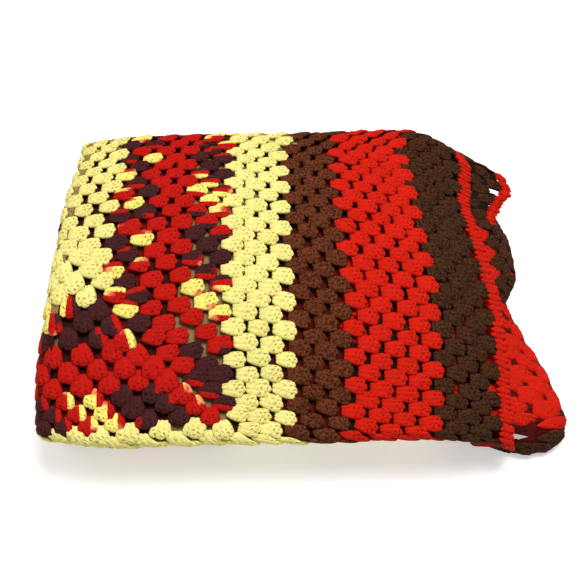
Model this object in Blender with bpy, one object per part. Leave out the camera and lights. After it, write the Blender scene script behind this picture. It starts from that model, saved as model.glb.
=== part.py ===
"""Granny square blanket, folded into a soft bundle.

One square of crochet, worked in rounds, lies folded back and forth: first in depth (a back
fold and a front fold that takes both layers), then in width into three thirds.  A place in
the cloth is given in rounds: `across` runs from -51 to 51 towards the right, `down` from -51
to 51 towards the front, and the centre of the square is at 0, 0.  `fold_cloth` carries such
a place to its position in the folded bundle.  Metres, +Z up, +X right, +Y away from the
front edge, origin under the middle of the bundle.
"""

from math import pi

import bmesh
import bpy
import numpy as np

# The cloth
ROUND = 0.012             # height of one round of clusters
LAST_ROUND = 51.0         # rounds in the square
CLOTH = 0.0040            # thickness of the crochet
EDGE_GAP = 0.22           # rounds left open between the square and its edging
EDGE_WIDTH = 0.60         # rounds that the edging is wide
EDGE_THICKNESS = 0.0034

# The pile of twelve layers
LEVEL = 0.0070            # height of one layer in the pile
STRIP = 4                 # layers in the strip that is folded into thirds
THIRDS = 3

# Rounds that lie on the folds
BACK_FOLD = 4.0
FRONT_FOLD = 32.2
LEFT_FOLD = 15.7
RIGHT_FOLD = -15.0

# Places of the folds
X_LEFT = -0.180           # centre line of the left fold
X_RIGHT = 0.138           # centre line of the right fold, under the top third
X_INNER_END = -0.188      # where the lowest third ends, inside the left fold
OUTER_BEND = pi * 1.5 * LEVEL / 2 / ROUND     # half of the outer front bend, in rounds
INNER_BEND = pi * 0.5 * LEVEL / 2 / ROUND     # half of a close bend, in rounds
DEPTH = (FRONT_FOLD - BACK_FOLD - OUTER_BEND - INNER_BEND) * ROUND
Y_FRONT = -DEPTH / 2
Y_BACK = DEPTH / 2
INNER_FOLD = BACK_FOLD - 2 * INNER_BEND - DEPTH / ROUND
INNER_FLAP_EASE = 0.93    # the inner flap lies a little rumpled
CORNER_EASE = 0.04        # extra cloth in the squarer outer bends of the left fold
TOP_RUN = 0.380           # from the centre line of the left fold to the free end

# How the clusters of the top layer crowd towards the back, and the stripes to the sides
ROW_SHIFT = -0.089
ROW_CROWDING = 0.258
STRIPE_SPREAD = 0.193
STRIPE_SPAN = 0.380
TAPER = -0.149            # the bundle narrows towards the back
TAPER_CENTRE = 0.100

# The domed top
DOME_TOP = 0.925
DOME_FALL_ACROSS = 0.04
DOME_FALL_DEPTH = 0.206
DOME_LEAST = 0.80
DOME_HALF_WIDTH = 0.200
DOME_HALF_DEPTH = 0.172
WAVE = 0.0016             # soft unevenness of the top

# The free right end droops over the fold beneath it
DROP_START = X_RIGHT - 0.006
DROP_RUN = 0.118
FAN = 0.0022              # extra room between the drooping layers
TURN_DOWN = 0.0100        # how far the flap's bunched stripe turns down
STRIPE_START = 46.6       # round where that stripe starts
STRIPE_RUN = 4.6          # rounds over which it turns down
LEAST_WIDTH = 0.48        # where it is bunched most
SLIDE_START = 20.0        # rounds over which a layer's free end may slide
SLIDE_RUN = 28.0
SAG_RUN = 0.040           # the back of the pile sags past the end of the lowest flap

# The front leans back towards the table, so the top fold hangs over the layers beneath
SET_BACK = 0.030
SET_BACK_START = 0.120
SET_BACK_RUN = 0.285

# Middle of the finished bundle in plan, where the origin goes
MIDDLE_X = 0.03455
MIDDLE_Y = -0.00230

# Free ends of the top third: slide of the end in metres, and the share of its width that
# the last stripe keeps where it is bunched and turned down
FREE_END = [
    # down            slide   width
    (-51.0,          -0.010,  1.00),
    (-38.0,          -0.030,  1.00),
    (INNER_FOLD,     -0.040,  1.00),
    (-14.0,          -0.036,  1.00),
    (-8.0,           -0.010,  1.00),
    (-3.0,            0.024,  1.00),
    (0.0,             0.040,  1.00),
    (1.0,             0.043,  1.00),
    (BACK_FOLD - 0.6, 0.023,  1.00),
    (BACK_FOLD + 0.6, 0.018,  1.00),
    (7.0,            -0.004,  1.00),
    (14.0,           -0.001,  1.00),
    (21.0,            0.010,  1.00),
    (26.0,            0.006,  1.00),
    (FRONT_FOLD - 1,  0.000,  1.00),
    (FRONT_FOLD,      0.003,  1.00),
    (33.2,            0.007,  1.00),
    (34.2,            0.026,  0.92),
    (36.0,            0.068,  0.78),
    (38.0,            0.092,  0.60),
    (40.0,            0.091,  0.50),
    (43.0,            0.077,  0.48),
    (47.0,            0.058,  0.54),
    (51.0,            0.048,  0.66),
]

# Corners of the bundle seen from above, each drawn in by a soft pull
CORNERS = [
    # x start   x run    y start   y run    pull x   pull y
    (-0.120,   -0.090,  -0.090,   -0.085,   0.009,   0.009),
    (-0.120,   -0.090,   0.085,    0.085,   0.009,  -0.008),
    (0.140,     0.150,   0.020,    0.150,  -0.008,  -0.048),
    (0.205,     0.040,  -0.020,   -0.100,   0.000,  -0.012),
]

# Lattice lines of the modelled sheet; every layer has its lines over the same places
BEND_STEPS = 7
DEPTH_SHARES = (0.06, 0.13, 0.22, 0.33, 0.44, 0.55, 0.69, 0.76, 0.83, 0.91)
THIRD_SHARES = (0.2, 0.4, 0.6, 0.8)
TOP_SHARES = (0.21, 0.42, 0.62)
TOP_END_ROUNDS = (
    38.0, 39.3, 40.6, 41.8, 43.0, 44.2, 45.4, 46.6, 47.1, 47.6, 48.1, 48.7, 49.4, 50.2, LAST_ROUND,
)


def ease(share):
    """Soft step from 0 to 1."""
    share = np.clip(share, 0.0, 1.0)
    return share * share * (3.0 - 2.0 * share)


def free_end(down, column):
    """Value of one column of the free end table at a place down the cloth."""
    rows = np.array(FREE_END)
    return np.interp(down, rows[:, 0], rows[:, column])


def strip_section(down):
    """Depth and height (in layers) of the four-layer strip that folding in depth makes."""
    y = np.zeros_like(down)
    layer = np.zeros_like(down)

    part = down >= FRONT_FOLD + OUTER_BEND
    y[part] = Y_FRONT + (down[part] - FRONT_FOLD - OUTER_BEND) * ROUND

    part = np.abs(down - FRONT_FOLD) < OUTER_BEND
    turn = (down[part] - FRONT_FOLD) / OUTER_BEND * pi / 2
    y[part] = Y_FRONT - 1.5 * LEVEL * np.cos(turn)
    layer[part] = 1.5 - 1.5 * np.sin(turn)

    part = (down <= FRONT_FOLD - OUTER_BEND) & (down >= BACK_FOLD + INNER_BEND)
    share = (down[part] - BACK_FOLD - INNER_BEND) * ROUND / DEPTH
    share = share + share * (1 - share) * (ROW_SHIFT + ROW_CROWDING * (2 * share - 1))
    y[part] = Y_BACK - share * DEPTH
    layer[part] = 3

    part = np.abs(down - BACK_FOLD) < INNER_BEND
    turn = (down[part] - BACK_FOLD) / INNER_BEND * pi / 2
    y[part] = Y_BACK + 0.5 * LEVEL * np.cos(turn)
    layer[part] = 2.5 + 0.5 * np.sin(turn)

    part = (down <= BACK_FOLD - INNER_BEND) & (down >= INNER_FOLD + INNER_BEND)
    run = BACK_FOLD - INNER_FOLD - 2 * INNER_BEND
    y[part] = Y_BACK - (BACK_FOLD - INNER_BEND - down[part]) / run * DEPTH
    layer[part] = 2

    part = np.abs(down - INNER_FOLD) < INNER_BEND
    turn = (down[part] - INNER_FOLD) / INNER_BEND * pi / 2
    y[part] = Y_FRONT - 0.5 * LEVEL * np.cos(turn)
    layer[part] = 1.5 + 0.5 * np.sin(turn)

    part = down <= INNER_FOLD - INNER_BEND
    y[part] = Y_FRONT + (INNER_FOLD - INNER_BEND - down[part]) * ROUND * INNER_FLAP_EASE
    layer[part] = 1
    return y, layer


def bend_halves(layer):
    """Half lengths, in rounds, of the left and the right fold for a layer of the strip."""
    left = pi * (layer + 0.5) * LEVEL / 2 / ROUND * (1 + CORNER_EASE * layer)
    right = pi * (STRIP - 0.5 - layer) * LEVEL / 2 / ROUND
    return left, right


def dome(x, y):
    """Share of its full height that the pile has at a place in plan."""
    aside = np.clip((x - (X_LEFT + X_RIGHT) / 2) / DOME_HALF_WIDTH, -1.2, 1.2)
    depth = np.clip(y / DOME_HALF_DEPTH, -1.1, 1.1)
    height = DOME_TOP - DOME_FALL_ACROSS * np.abs(aside) ** 3 - DOME_FALL_DEPTH * np.abs(depth) ** 2.5
    return np.maximum(height, DOME_LEAST)


def draw_in_corners(x, y):
    """Round the corners of the bundle in plan."""
    for x_start, x_run, y_start, y_run, pull_x, pull_y in CORNERS:
        pull = ease((x - x_start) / x_run) * ease((y - y_start) / y_run)
        x = x + pull * pull_x
        y = y + pull * pull_y
    return x, y


def fold_cloth(across, down):
    """Position in the folded bundle of a place in the cloth, given in rounds."""
    across, down = (np.array(a, float) for a in np.broadcast_arrays(across, down))
    y, layer = strip_section(down)
    left_half, right_half = bend_halves(layer)
    left_radius = (layer + 0.5) * LEVEL
    right_radius = (STRIP - 0.5 - layer) * LEVEL

    # Top third, from the left fold to the free end
    slide = free_end(down, 1)
    width = free_end(down, 2)

    def top_x(ring):
        run = TOP_RUN * (ring - LEFT_FOLD - left_half) / (LAST_ROUND - LEFT_FOLD - left_half)
        spread = STRIPE_SPREAD * run * (STRIPE_SPAN - run)
        return X_LEFT + run + spread + slide * ease((ring - SLIDE_START) / SLIDE_RUN)

    in_top = across >= LEFT_FOLD + left_half
    in_stripe = across > STRIPE_START
    stripe_x = top_x(STRIPE_START)
    x = np.where(in_stripe, stripe_x + width * (top_x(across) - stripe_x), top_x(across))
    level = 2 * STRIP + layer

    # Left fold, squarer on its outer layers
    turn = np.clip((across - LEFT_FOLD) / left_half, -1, 1) * pi / 2
    squareness = 2 + 2 * layer / 3
    reach = (np.abs(np.cos(turn)) ** squareness + np.abs(np.sin(turn)) ** squareness) ** (-1 / squareness)
    part = np.abs(across - LEFT_FOLD) < left_half
    x = np.where(part, X_LEFT - left_radius * np.cos(turn) * reach, x)
    level = np.where(part, 2 * STRIP - 0.5 + (layer + 0.5) * np.sin(turn) * reach, level)

    # Middle third
    part = (across <= LEFT_FOLD - left_half) & (across >= RIGHT_FOLD + right_half)
    share = (LEFT_FOLD - left_half - across) / (LEFT_FOLD - left_half - RIGHT_FOLD - right_half)
    x = np.where(part, X_LEFT + share * (X_RIGHT - X_LEFT), x)
    level = np.where(part, 2 * STRIP - 1 - layer, level)

    # Right fold
    part = np.abs(across - RIGHT_FOLD) < right_half
    turn = np.clip((across - RIGHT_FOLD) / right_half, -1, 1) * pi / 2
    x = np.where(part, X_RIGHT + right_radius * np.cos(turn), x)
    level = np.where(part, STRIP - 0.5 + (STRIP - 0.5 - layer) * np.sin(turn), level)

    # Lowest third
    part = across <= RIGHT_FOLD - right_half
    share = (RIGHT_FOLD - right_half - across) / (RIGHT_FOLD - right_half + LAST_ROUND)
    x = np.where(part, X_RIGHT - share * (X_RIGHT - X_INNER_END), x)
    level = np.where(part, layer, level)

    # Height of the pile, with its dome, droop and sag
    full = dome(x, y)
    wave = WAVE * np.sin(31 * x + 0.8) * np.sin(24 * y + 1.9) * level / (STRIP * THIRDS)
    z = CLOTH / 2 + level * LEVEL * full + wave
    droop = ease((x - DROP_START) / DROP_RUN) * (2 * STRIP * LEVEL * full - TURN_DOWN)
    fan = (level - 2 * STRIP) * FAN * ease(2 * (x - DROP_START) / DROP_RUN)
    turned = TURN_DOWN * (1 - width) / (1 - LEAST_WIDTH) * ease((across - STRIPE_START) / STRIPE_RUN)
    z = np.where(in_top, z - droop + fan - np.where(in_stripe, turned, 0.0), z)
    flap_end = Y_FRONT + (LAST_ROUND + 1 - FRONT_FOLD - OUTER_BEND) * ROUND
    sag = LEVEL * full * (1 - level / (STRIP * THIRDS)) * ease((y - flap_end) / SAG_RUN)
    z = z - np.where(level > 0.5, sag, 0.0)

    top_level = STRIP * THIRDS - 1
    lean = SET_BACK * (1 - level / top_level)
    y = y + lean * ease((SET_BACK_START - y) / SET_BACK_RUN)
    x = x + TAPER * (x - TAPER_CENTRE) * (y - Y_FRONT)
    x, y = draw_in_corners(x, y)
    return np.stack([x - MIDDLE_X, y - MIDDLE_Y, z], axis=-1)


def between(first, last, shares):
    """Values at the given shares of the way from one value to another."""
    return [first + (last - first) * share for share in shares]


def bend_stops(middle, half, steps):
    """Places along a bend, its two ends included."""
    return [middle + half * (2 * step / steps - 1) for step in range(steps + 1)]


def downs_over(first, last):
    """Places down one flat layer that lie over the shared depths, in order down the cloth."""
    downs = np.linspace(first, last, 400)
    depths = strip_section(downs)[0]
    order = np.argsort(depths)
    shared = Y_FRONT + DEPTH * np.array(DEPTH_SHARES)
    shared = shared[(shared > depths.min() + ROUND / 2) & (shared < depths.max() - ROUND / 2)]
    return sorted(np.interp(shared, depths[order], downs[order]).tolist())


def lines_down():
    """Lattice lines down the cloth, from the end of the inner flap to that of the outer one."""
    lines = [-LAST_ROUND, *downs_over(-LAST_ROUND, INNER_FOLD - INNER_BEND)]
    lines += bend_stops(INNER_FOLD, INNER_BEND, BEND_STEPS // 2)
    lines += downs_over(INNER_FOLD + INNER_BEND, BACK_FOLD - INNER_BEND)
    lines += bend_stops(BACK_FOLD, INNER_BEND, BEND_STEPS // 2)
    lines += downs_over(BACK_FOLD + INNER_BEND, FRONT_FOLD - OUTER_BEND)
    lines += bend_stops(FRONT_FOLD, OUTER_BEND, BEND_STEPS)
    lines += [*downs_over(FRONT_FOLD + OUTER_BEND, LAST_ROUND), LAST_ROUND]
    return lines


def lines_across(down):
    """Lattice lines across the cloth for one line down it, from the lowest third up."""
    layer = strip_section(np.array([down]))[1][0]
    left_half, right_half = bend_halves(layer)
    lines = [-LAST_ROUND, *between(-LAST_ROUND, RIGHT_FOLD - right_half, THIRD_SHARES)]
    lines += bend_stops(RIGHT_FOLD, right_half, BEND_STEPS)
    lines += between(RIGHT_FOLD + right_half, LEFT_FOLD - left_half, THIRD_SHARES)
    lines += bend_stops(LEFT_FOLD, left_half, BEND_STEPS)
    lines += between(LEFT_FOLD + left_half, TOP_END_ROUNDS[0], TOP_SHARES)
    lines += [*TOP_END_ROUNDS]
    return lines


def with_border(lines):
    """The lattice lines with those of the edging added at both ends."""
    near = LAST_ROUND + EDGE_GAP
    far = near + EDGE_WIDTH
    return [-far, -near, *lines, near, far]


def lattice():
    """Cloth places, in rounds, of every lattice point of the square and its edging."""
    downs = with_border(lines_down())
    rows = []
    for down in downs:
        inside = float(np.clip(down, -LAST_ROUND, LAST_ROUND))
        rows.append([(across, down) for across in with_border(lines_across(inside))])
    return np.array(rows)


def make_material(name, colour, roughness):
    """A plain yarn finish."""
    material = bpy.data.materials.new(name)
    material.use_nodes = True
    shader = material.node_tree.nodes["Principled BSDF"]
    shader.inputs["Base Color"].default_value = (*colour, 1.0)
    shader.inputs["Roughness"].default_value = roughness
    shader.inputs["Metallic"].default_value = 0.0
    return material


def make_sheet(name, places, is_edging, thickness, material):
    """Fold a lattice of cloth places and give it its thickness.

    The lattice has two lines of edging and a narrow gap all round. The square keeps the
    faces inside the gap, the edging those outside it.
    """
    row_count, column_count = places.shape[:2]
    mesh = bpy.data.meshes.new(name)
    sheet = bmesh.new()
    bmesh.ops.create_grid(sheet, x_segments=column_count - 1, y_segments=row_count - 1, size=1.0)
    sheet.verts.ensure_lookup_table()

    # The grid's own corners, from -1 to 1, say which lattice point each of its vertices is
    positions = fold_cloth(places[..., 0], places[..., 1])
    place_of = {}
    for vertex in sheet.verts:
        column = round((vertex.co.x + 1) / 2 * (column_count - 1))
        row = round((vertex.co.y + 1) / 2 * (row_count - 1))
        place_of[vertex] = (row, column)

    def ring_of(face):
        """0 on the outermost faces of the lattice, 1 on the next, and so on."""
        rows = [place_of[vertex][0] for vertex in face.verts]
        columns = [place_of[vertex][1] for vertex in face.verts]
        sides = (min(rows), min(columns), row_count - 1 - max(rows), column_count - 1 - max(columns))
        return min(sides)

    spare = [face for face in sheet.faces if (ring_of(face) != 0 if is_edging else ring_of(face) < 2)]
    bmesh.ops.delete(sheet, geom=spare, context="FACES")
    for vertex in sheet.verts:
        row, column = place_of[vertex]
        vertex.co = positions[row, column]
    bmesh.ops.recalc_face_normals(sheet, faces=sheet.faces)
    sheet.to_mesh(mesh)
    sheet.free()

    mesh.materials.append(material)
    blanket_piece = bpy.data.objects.new(name, mesh)
    bpy.context.scene.collection.objects.link(blanket_piece)
    thicken = blanket_piece.modifiers.new("Thickness", "SOLIDIFY")
    thicken.thickness = thickness
    thicken.offset = 0.0
    thicken.use_rim = True
    mesh.shade_smooth()
    return blanket_piece


def main():
    """Clear the scene and fold the blanket and its edging."""
    for item in list(bpy.data.objects):
        bpy.data.objects.remove(item, do_unlink=True)
    striped = make_material("striped_yarn", (0.36, 0.05, 0.02), 0.9)
    red = make_material("red_yarn", (0.78, 0.05, 0.01), 0.88)
    places = lattice()
    make_sheet("blanket", places, False, CLOTH, striped)
    make_sheet("edging", places, True, EDGE_THICKNESS, red)


main()
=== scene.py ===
"""Granny square blanket, folded into a soft bundle: its clusters, yarns and edging.

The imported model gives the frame. Here the cloth is dressed the way it is worked: rounds of
treble clusters in their yarns, laid through the same folds as the solids, with an inner cloth
for the hidden layers and a red edging of close stitches. Metres, +Z up, +Y to the back fold.
"""

from __future__ import annotations

import logging
from dataclasses import dataclass, field
from enum import Enum
from math import cos, pi, radians, sin

import bmesh
import bpy
import numpy as np
from bmesh.types import BMesh
from bpy.types import ColorRamp, Material, Mesh, Node, NodeSocket, Object
from mathutils import Matrix, Vector


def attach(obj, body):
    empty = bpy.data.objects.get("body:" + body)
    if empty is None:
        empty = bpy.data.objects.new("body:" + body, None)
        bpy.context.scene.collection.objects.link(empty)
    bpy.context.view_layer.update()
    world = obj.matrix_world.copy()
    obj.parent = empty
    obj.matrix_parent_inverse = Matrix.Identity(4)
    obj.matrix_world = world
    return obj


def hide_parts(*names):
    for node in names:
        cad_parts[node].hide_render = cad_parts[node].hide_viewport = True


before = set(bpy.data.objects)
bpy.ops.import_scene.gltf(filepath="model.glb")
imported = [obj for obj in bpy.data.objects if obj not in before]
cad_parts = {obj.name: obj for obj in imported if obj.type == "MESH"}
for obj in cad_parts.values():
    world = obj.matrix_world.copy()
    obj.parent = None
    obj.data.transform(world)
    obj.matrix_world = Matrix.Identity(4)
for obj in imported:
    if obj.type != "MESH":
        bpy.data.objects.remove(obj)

LOG = logging.getLogger("granny_square")
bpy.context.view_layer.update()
Array = np.ndarray
MM = 0.001

# ---- the folded square

ROUND = 0.012             # height of one round
LAST_ROUND = 51.0
EDGED_ROUND = 51.8        # the edging's rim
CLOTH_SIDE = 2 * EDGED_ROUND * ROUND

# down, ring where the flap's edge begins to roll, and x, y and z of that line in metres
ROLL_LINE = np.array([
    (32.9, 50.0, 0.150, -0.140, 0.026),
    (33.2, 47.4, 0.163, -0.145, 0.016),
    (33.6, 47.0, 0.180, -0.153, 0.012),
    (34.0, 46.8, 0.199, -0.157, 0.012),
    (34.4, 46.8, 0.216, -0.154, 0.012),
    (34.8, 46.5, 0.228, -0.146, 0.013),
    (35.4, 45.4, 0.232, -0.132, 0.014),
    (36.1, 45.1, 0.229, -0.117, 0.015),
    (36.9, 45.1, 0.225, -0.101, 0.015),
    (37.7, 45.1, 0.220, -0.086, 0.016),
    (38.5, 45.1, 0.214, -0.071, 0.016),
    (39.3, 45.1, 0.207, -0.056, 0.016),
    (40.1, 45.1, 0.201, -0.041, 0.017),
    (40.9, 45.1, 0.195, -0.026, 0.018),
    (41.6, 45.6, 0.192, -0.012, 0.019),
    (42.3, 47.4, 0.199, 0.000, 0.020),
    (43.2, 48.2, 0.206, 0.014, 0.020),
    (44.3, 48.2, 0.207, 0.031, 0.020),
    (45.5, 48.2, 0.206, 0.049, 0.020),
    (46.7, 48.0, 0.202, 0.067, 0.020),
    (47.8, 48.0, 0.196, 0.083, 0.020),
    (51.8, 48.0, 0.180, 0.120, 0.020),
])
# down, draw of the free end round the back fold in x, y and z, ring where it begins
END_LINE = np.array([
    (-14.0, 0.000, 0.000, 0.000, 38.0),
    (-9.0, 0.012, 0.000, -0.022, 38.0),
    (-5.2, 0.018, 0.004, -0.020, 38.0),
    (-3.4, 0.006, 0.010, -0.004, 38.0),
    (-1.0, 0.004, 0.010, 0.002, 38.0),
    (1.0, 0.010, 0.010, 0.004, 38.0),
    (3.0, 0.022, 0.002, 0.004, 38.0),
    (4.0, 0.000, 0.006, -0.008, 42.0),
    (4.6, -0.004, 0.010, -0.002, 44.0),
    (5.0, -0.006, 0.010, 0.002, 44.0),
    (6.0, 0.006, 0.006, 0.002, 44.0),
    (7.0, 0.016, 0.000, 0.000, 44.0),
    (9.0, 0.010, 0.000, 0.000, 44.0),
    (12.0, 0.000, 0.000, 0.000, 44.0),
])
# x start, x run, y start, y run, pull in x, pull in y
CORNER_PULLS = (
    (-0.120, -0.090, -0.090, -0.085, 0.009, 0.009),
    (-0.120, -0.090, 0.085, 0.085, 0.009, -0.008),
    (0.140, 0.150, 0.020, 0.150, -0.008, -0.048),
    (0.205, 0.040, -0.020, -0.100, 0.000, -0.012),
)


def ease(share: Array) -> Array:
    """Soft step from 0 to 1."""
    share = np.clip(share, 0.0, 1.0)
    return share * share * (3.0 - 2.0 * share)


def read(table: Array, down: Array, *columns: int) -> list[Array]:
    """Columns of a table at places down the cloth, which its first column holds."""
    return [np.interp(down, table[:, 0], table[:, column]) for column in columns]


@dataclass
class FoldedSquare:
    """The way the square lies folded, which carries a place in the cloth to the bundle.

    A place is given in rounds: `across` to the right, `down` to the front, from the centre.
    """

    cloth: float = 0.0040
    level: float = 0.0070
    strip: int = 4
    thirds: int = 3
    back_fold: float = 4.0
    front_fold: float = 32.2
    left_fold: float = 15.7
    right_fold: float = -15.0
    x_left: float = -0.180
    x_right: float = 0.138
    x_inner_end: float = -0.188
    inner_flap_ease: float = 0.93
    corner_ease: float = 0.04
    top_run: float = 0.380
    row_shift: float = -0.089
    row_crowding: float = 0.258
    stripe_spread: float = 0.193
    stripe_span: float = 0.380
    taper: float = -0.149
    taper_centre: float = 0.100
    dome_top: float = 0.925
    dome_fall_across: float = 0.04
    dome_fall_depth: float = 0.206
    dome_least: float = 0.80
    dome_half_width: float = 0.200
    dome_half_depth: float = 0.172
    wave: float = 0.0016
    wave_across: tuple[float, float] = (31.0, 0.8)
    wave_along: tuple[float, float] = (24.0, 1.9)
    drop_run: float = 0.118
    fan: float = 0.0022
    turn_down: float = 0.0100
    stripe_start: float = 46.6
    stripe_run: float = 4.6
    least_width: float = 0.48
    slide_start: float = 20.0
    slide_run: float = 28.0
    sag_run: float = 0.040
    set_back: float = 0.030
    set_back_start: float = 0.120
    set_back_run: float = 0.285
    middle: tuple[float, float] = (0.03455, -0.00230)
    flap_reach: float = 30.0
    flap_drop: float = 38.0
    roll_ramp: float = 0.8
    roll_radius: float = 0.0052
    roll_shrink: float = 0.00015

    def __post_init__(self) -> None:
        """Work out the bends, the depth of the bundle and the tables that depend on them."""
        self.outer_bend = pi * 1.5 * self.level / 2 / ROUND
        self.inner_bend = pi * 0.5 * self.level / 2 / ROUND
        flat = self.front_fold - self.back_fold - self.outer_bend - self.inner_bend
        self.depth = flat * ROUND
        self.y_front = -self.depth / 2
        self.y_back = self.depth / 2
        self.inner_fold = self.back_fold - 2 * self.inner_bend - flat
        self.drop_start = self.x_right - 0.006
        # down, slide of the free end in metres, share of its width that the last stripe keeps
        self.free_ends = np.array([
            (-51.0, -0.010, 1.00), (-38.0, -0.030, 1.00), (self.inner_fold, -0.040, 1.00),
            (-14.0, -0.036, 1.00), (-8.0, -0.010, 1.00), (-3.0, 0.024, 1.00),
            (0.0, 0.040, 1.00), (1.0, 0.043, 1.00), (self.back_fold - 0.6, 0.023, 1.00),
            (self.back_fold + 0.6, 0.004, 1.00), (7.0, -0.013, 1.00), (10.0, -0.008, 1.00),
            (14.0, -0.001, 1.00), (21.0, 0.010, 1.00), (26.0, 0.006, 1.00),
            (self.front_fold - 1, 0.000, 1.00), (self.front_fold, 0.003, 1.00),
            (33.2, 0.007, 1.00), (34.2, 0.026, 0.92), (36.0, 0.068, 0.78), (38.0, 0.092, 0.60),
            (40.0, 0.091, 0.50), (43.0, 0.077, 0.48), (47.0, 0.058, 0.54), (51.0, 0.048, 0.66),
        ])

    def section(self, down: Array) -> tuple[Array, Array]:
        """Depth and layer of the four-layer strip.

        Args:
            down: places down the cloth.

        Returns:
            Depth in metres and height in layers.
        """
        outer, inner = self.outer_bend, self.inner_bend
        y, layer = np.zeros_like(down), np.zeros_like(down)

        def bend(fold: float, half: float, start: float, reach: float, level: float,
                 rise: float) -> None:
            """Lay the places of one half-round bend between two layers."""
            part = np.abs(down - fold) < half
            turn = (down[part] - fold) / half * pi / 2
            y[part] = start + reach * self.level * np.cos(turn)
            layer[part] = level + rise * np.sin(turn)

        part = down >= self.front_fold + outer
        y[part] = self.y_front + (down[part] - self.front_fold - outer) * ROUND
        bend(self.front_fold, outer, self.y_front, -1.5, 1.5, -1.5)

        part = (down <= self.front_fold - outer) & (down >= self.back_fold + inner)
        share = (down[part] - self.back_fold - inner) * ROUND / self.depth
        crowding = self.row_shift + self.row_crowding * (2 * share - 1)
        y[part] = self.y_back - (share + share * (1 - share) * crowding) * self.depth
        layer[part] = 3
        bend(self.back_fold, inner, self.y_back, 0.5, 2.5, 0.5)

        part = (down <= self.back_fold - inner) & (down >= self.inner_fold + inner)
        run = self.back_fold - self.inner_fold - 2 * inner
        y[part] = self.y_back - (self.back_fold - inner - down[part]) / run * self.depth
        layer[part] = 2
        bend(self.inner_fold, inner, self.y_front, -0.5, 1.5, 0.5)

        part = down <= self.inner_fold - inner
        run = (self.inner_fold - inner - down[part]) * ROUND
        y[part] = self.y_front + run * self.inner_flap_ease
        layer[part] = 1
        return y, layer

    def bend_halves(self, layer: Array) -> tuple[Array, Array]:
        """Half lengths, in rounds, of the left and right folds for a layer of the strip."""
        left = pi * (layer + 0.5) * self.level / 2 / ROUND * (1 + self.corner_ease * layer)
        right = pi * (self.strip - 0.5 - layer) * self.level / 2 / ROUND
        return left, right

    def dome(self, x: Array, y: Array) -> Array:
        """Share of its full height that the pile has at a place in plan."""
        aside = np.clip((x - (self.x_left + self.x_right) / 2) / self.dome_half_width, -1.2, 1.2)
        depth = np.clip(y / self.dome_half_depth, -1.1, 1.1)
        fall_across = self.dome_fall_across * np.abs(aside) ** 3
        fall_depth = self.dome_fall_depth * np.abs(depth) ** 2.5
        return np.maximum(self.dome_top - (fall_across + fall_depth), self.dome_least)

    def fold(self, across: Array, down: Array) -> Array:
        """Positions in the bundle of places in the cloth, before its loose ends are laid.

        Args:
            across, down: places in the cloth.

        Returns:
            Points in metres, with x, y and z along the last axis.
        """
        across, down = (np.array(a, float) for a in np.broadcast_arrays(across, down))
        y, layer = self.section(down)
        left_half, right_half = self.bend_halves(layer)
        strip, level = self.strip, self.level
        slide, width = read(self.free_ends, down, 1, 2)

        def top_x(ring: Array) -> Array:
            """Place in x of a ring in the top third."""
            run = self.top_run * (ring - self.left_fold - left_half)
            run = run / (LAST_ROUND - self.left_fold - left_half)
            spread = self.stripe_spread * run * (self.stripe_span - run)
            slid = slide * ease((ring - self.slide_start) / self.slide_run)
            return self.x_left + run + spread + slid

        in_top = across >= self.left_fold + left_half
        in_stripe = across > self.stripe_start
        stripe_x = top_x(np.full_like(across, self.stripe_start))
        x = top_x(across)
        x = np.where(in_stripe, stripe_x + width * (x - stripe_x), x)
        height = 2 * strip + layer

        turn = np.clip((across - self.left_fold) / left_half, -1, 1) * pi / 2
        square = 2 + 2 * layer / 3
        reach = (np.abs(np.cos(turn)) ** square + np.abs(np.sin(turn)) ** square) ** (-1 / square)
        part = np.abs(across - self.left_fold) < left_half
        x = np.where(part, self.x_left - (layer + 0.5) * level * np.cos(turn) * reach, x)
        height = np.where(part, 2 * strip - 0.5 + (layer + 0.5) * np.sin(turn) * reach, height)

        start, end = self.left_fold - left_half, self.right_fold + right_half
        part = (across <= start) & (across >= end)
        share = (start - across) / (start - end)
        x = np.where(part, self.x_left + share * (self.x_right - self.x_left), x)
        height = np.where(part, 2 * strip - 1 - layer, height)

        part = np.abs(across - self.right_fold) < right_half
        turn = np.clip((across - self.right_fold) / right_half, -1, 1) * pi / 2
        x = np.where(part, self.x_right + (strip - 0.5 - layer) * level * np.cos(turn), x)
        height = np.where(part, strip - 0.5 + (strip - 0.5 - layer) * np.sin(turn), height)

        start = self.right_fold - right_half
        part = across <= start
        share = (start - across) / (start + LAST_ROUND)
        x = np.where(part, self.x_right - share * (self.x_right - self.x_inner_end), x)
        height = np.where(part, layer, height)

        full = self.dome(x, y)
        pile = strip * self.thirds
        (turns_x, start_x), (turns_y, start_y) = self.wave_across, self.wave_along
        wave = self.wave * np.sin(turns_x * x + start_x) * np.sin(turns_y * y + start_y)
        wave = wave * height / pile
        z = self.cloth / 2 + height * level * full + wave
        drop = 2 * strip * level * full - self.turn_down
        droop = ease((x - self.drop_start) / self.drop_run) * drop
        fan = (height - 2 * strip) * self.fan * ease(2 * (x - self.drop_start) / self.drop_run)
        bunched = (1 - width) / (1 - self.least_width)
        turned = self.turn_down * bunched * ease((across - self.stripe_start) / self.stripe_run)
        z = np.where(in_top, z - droop + fan - np.where(in_stripe, turned, 0.0), z)
        flap_end = self.y_front + (LAST_ROUND + 1 - self.front_fold - self.outer_bend) * ROUND
        sag = level * full * (1 - height / pile) * ease((y - flap_end) / self.sag_run)
        z = z - np.where(height > 0.5, sag, 0.0)

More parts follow.
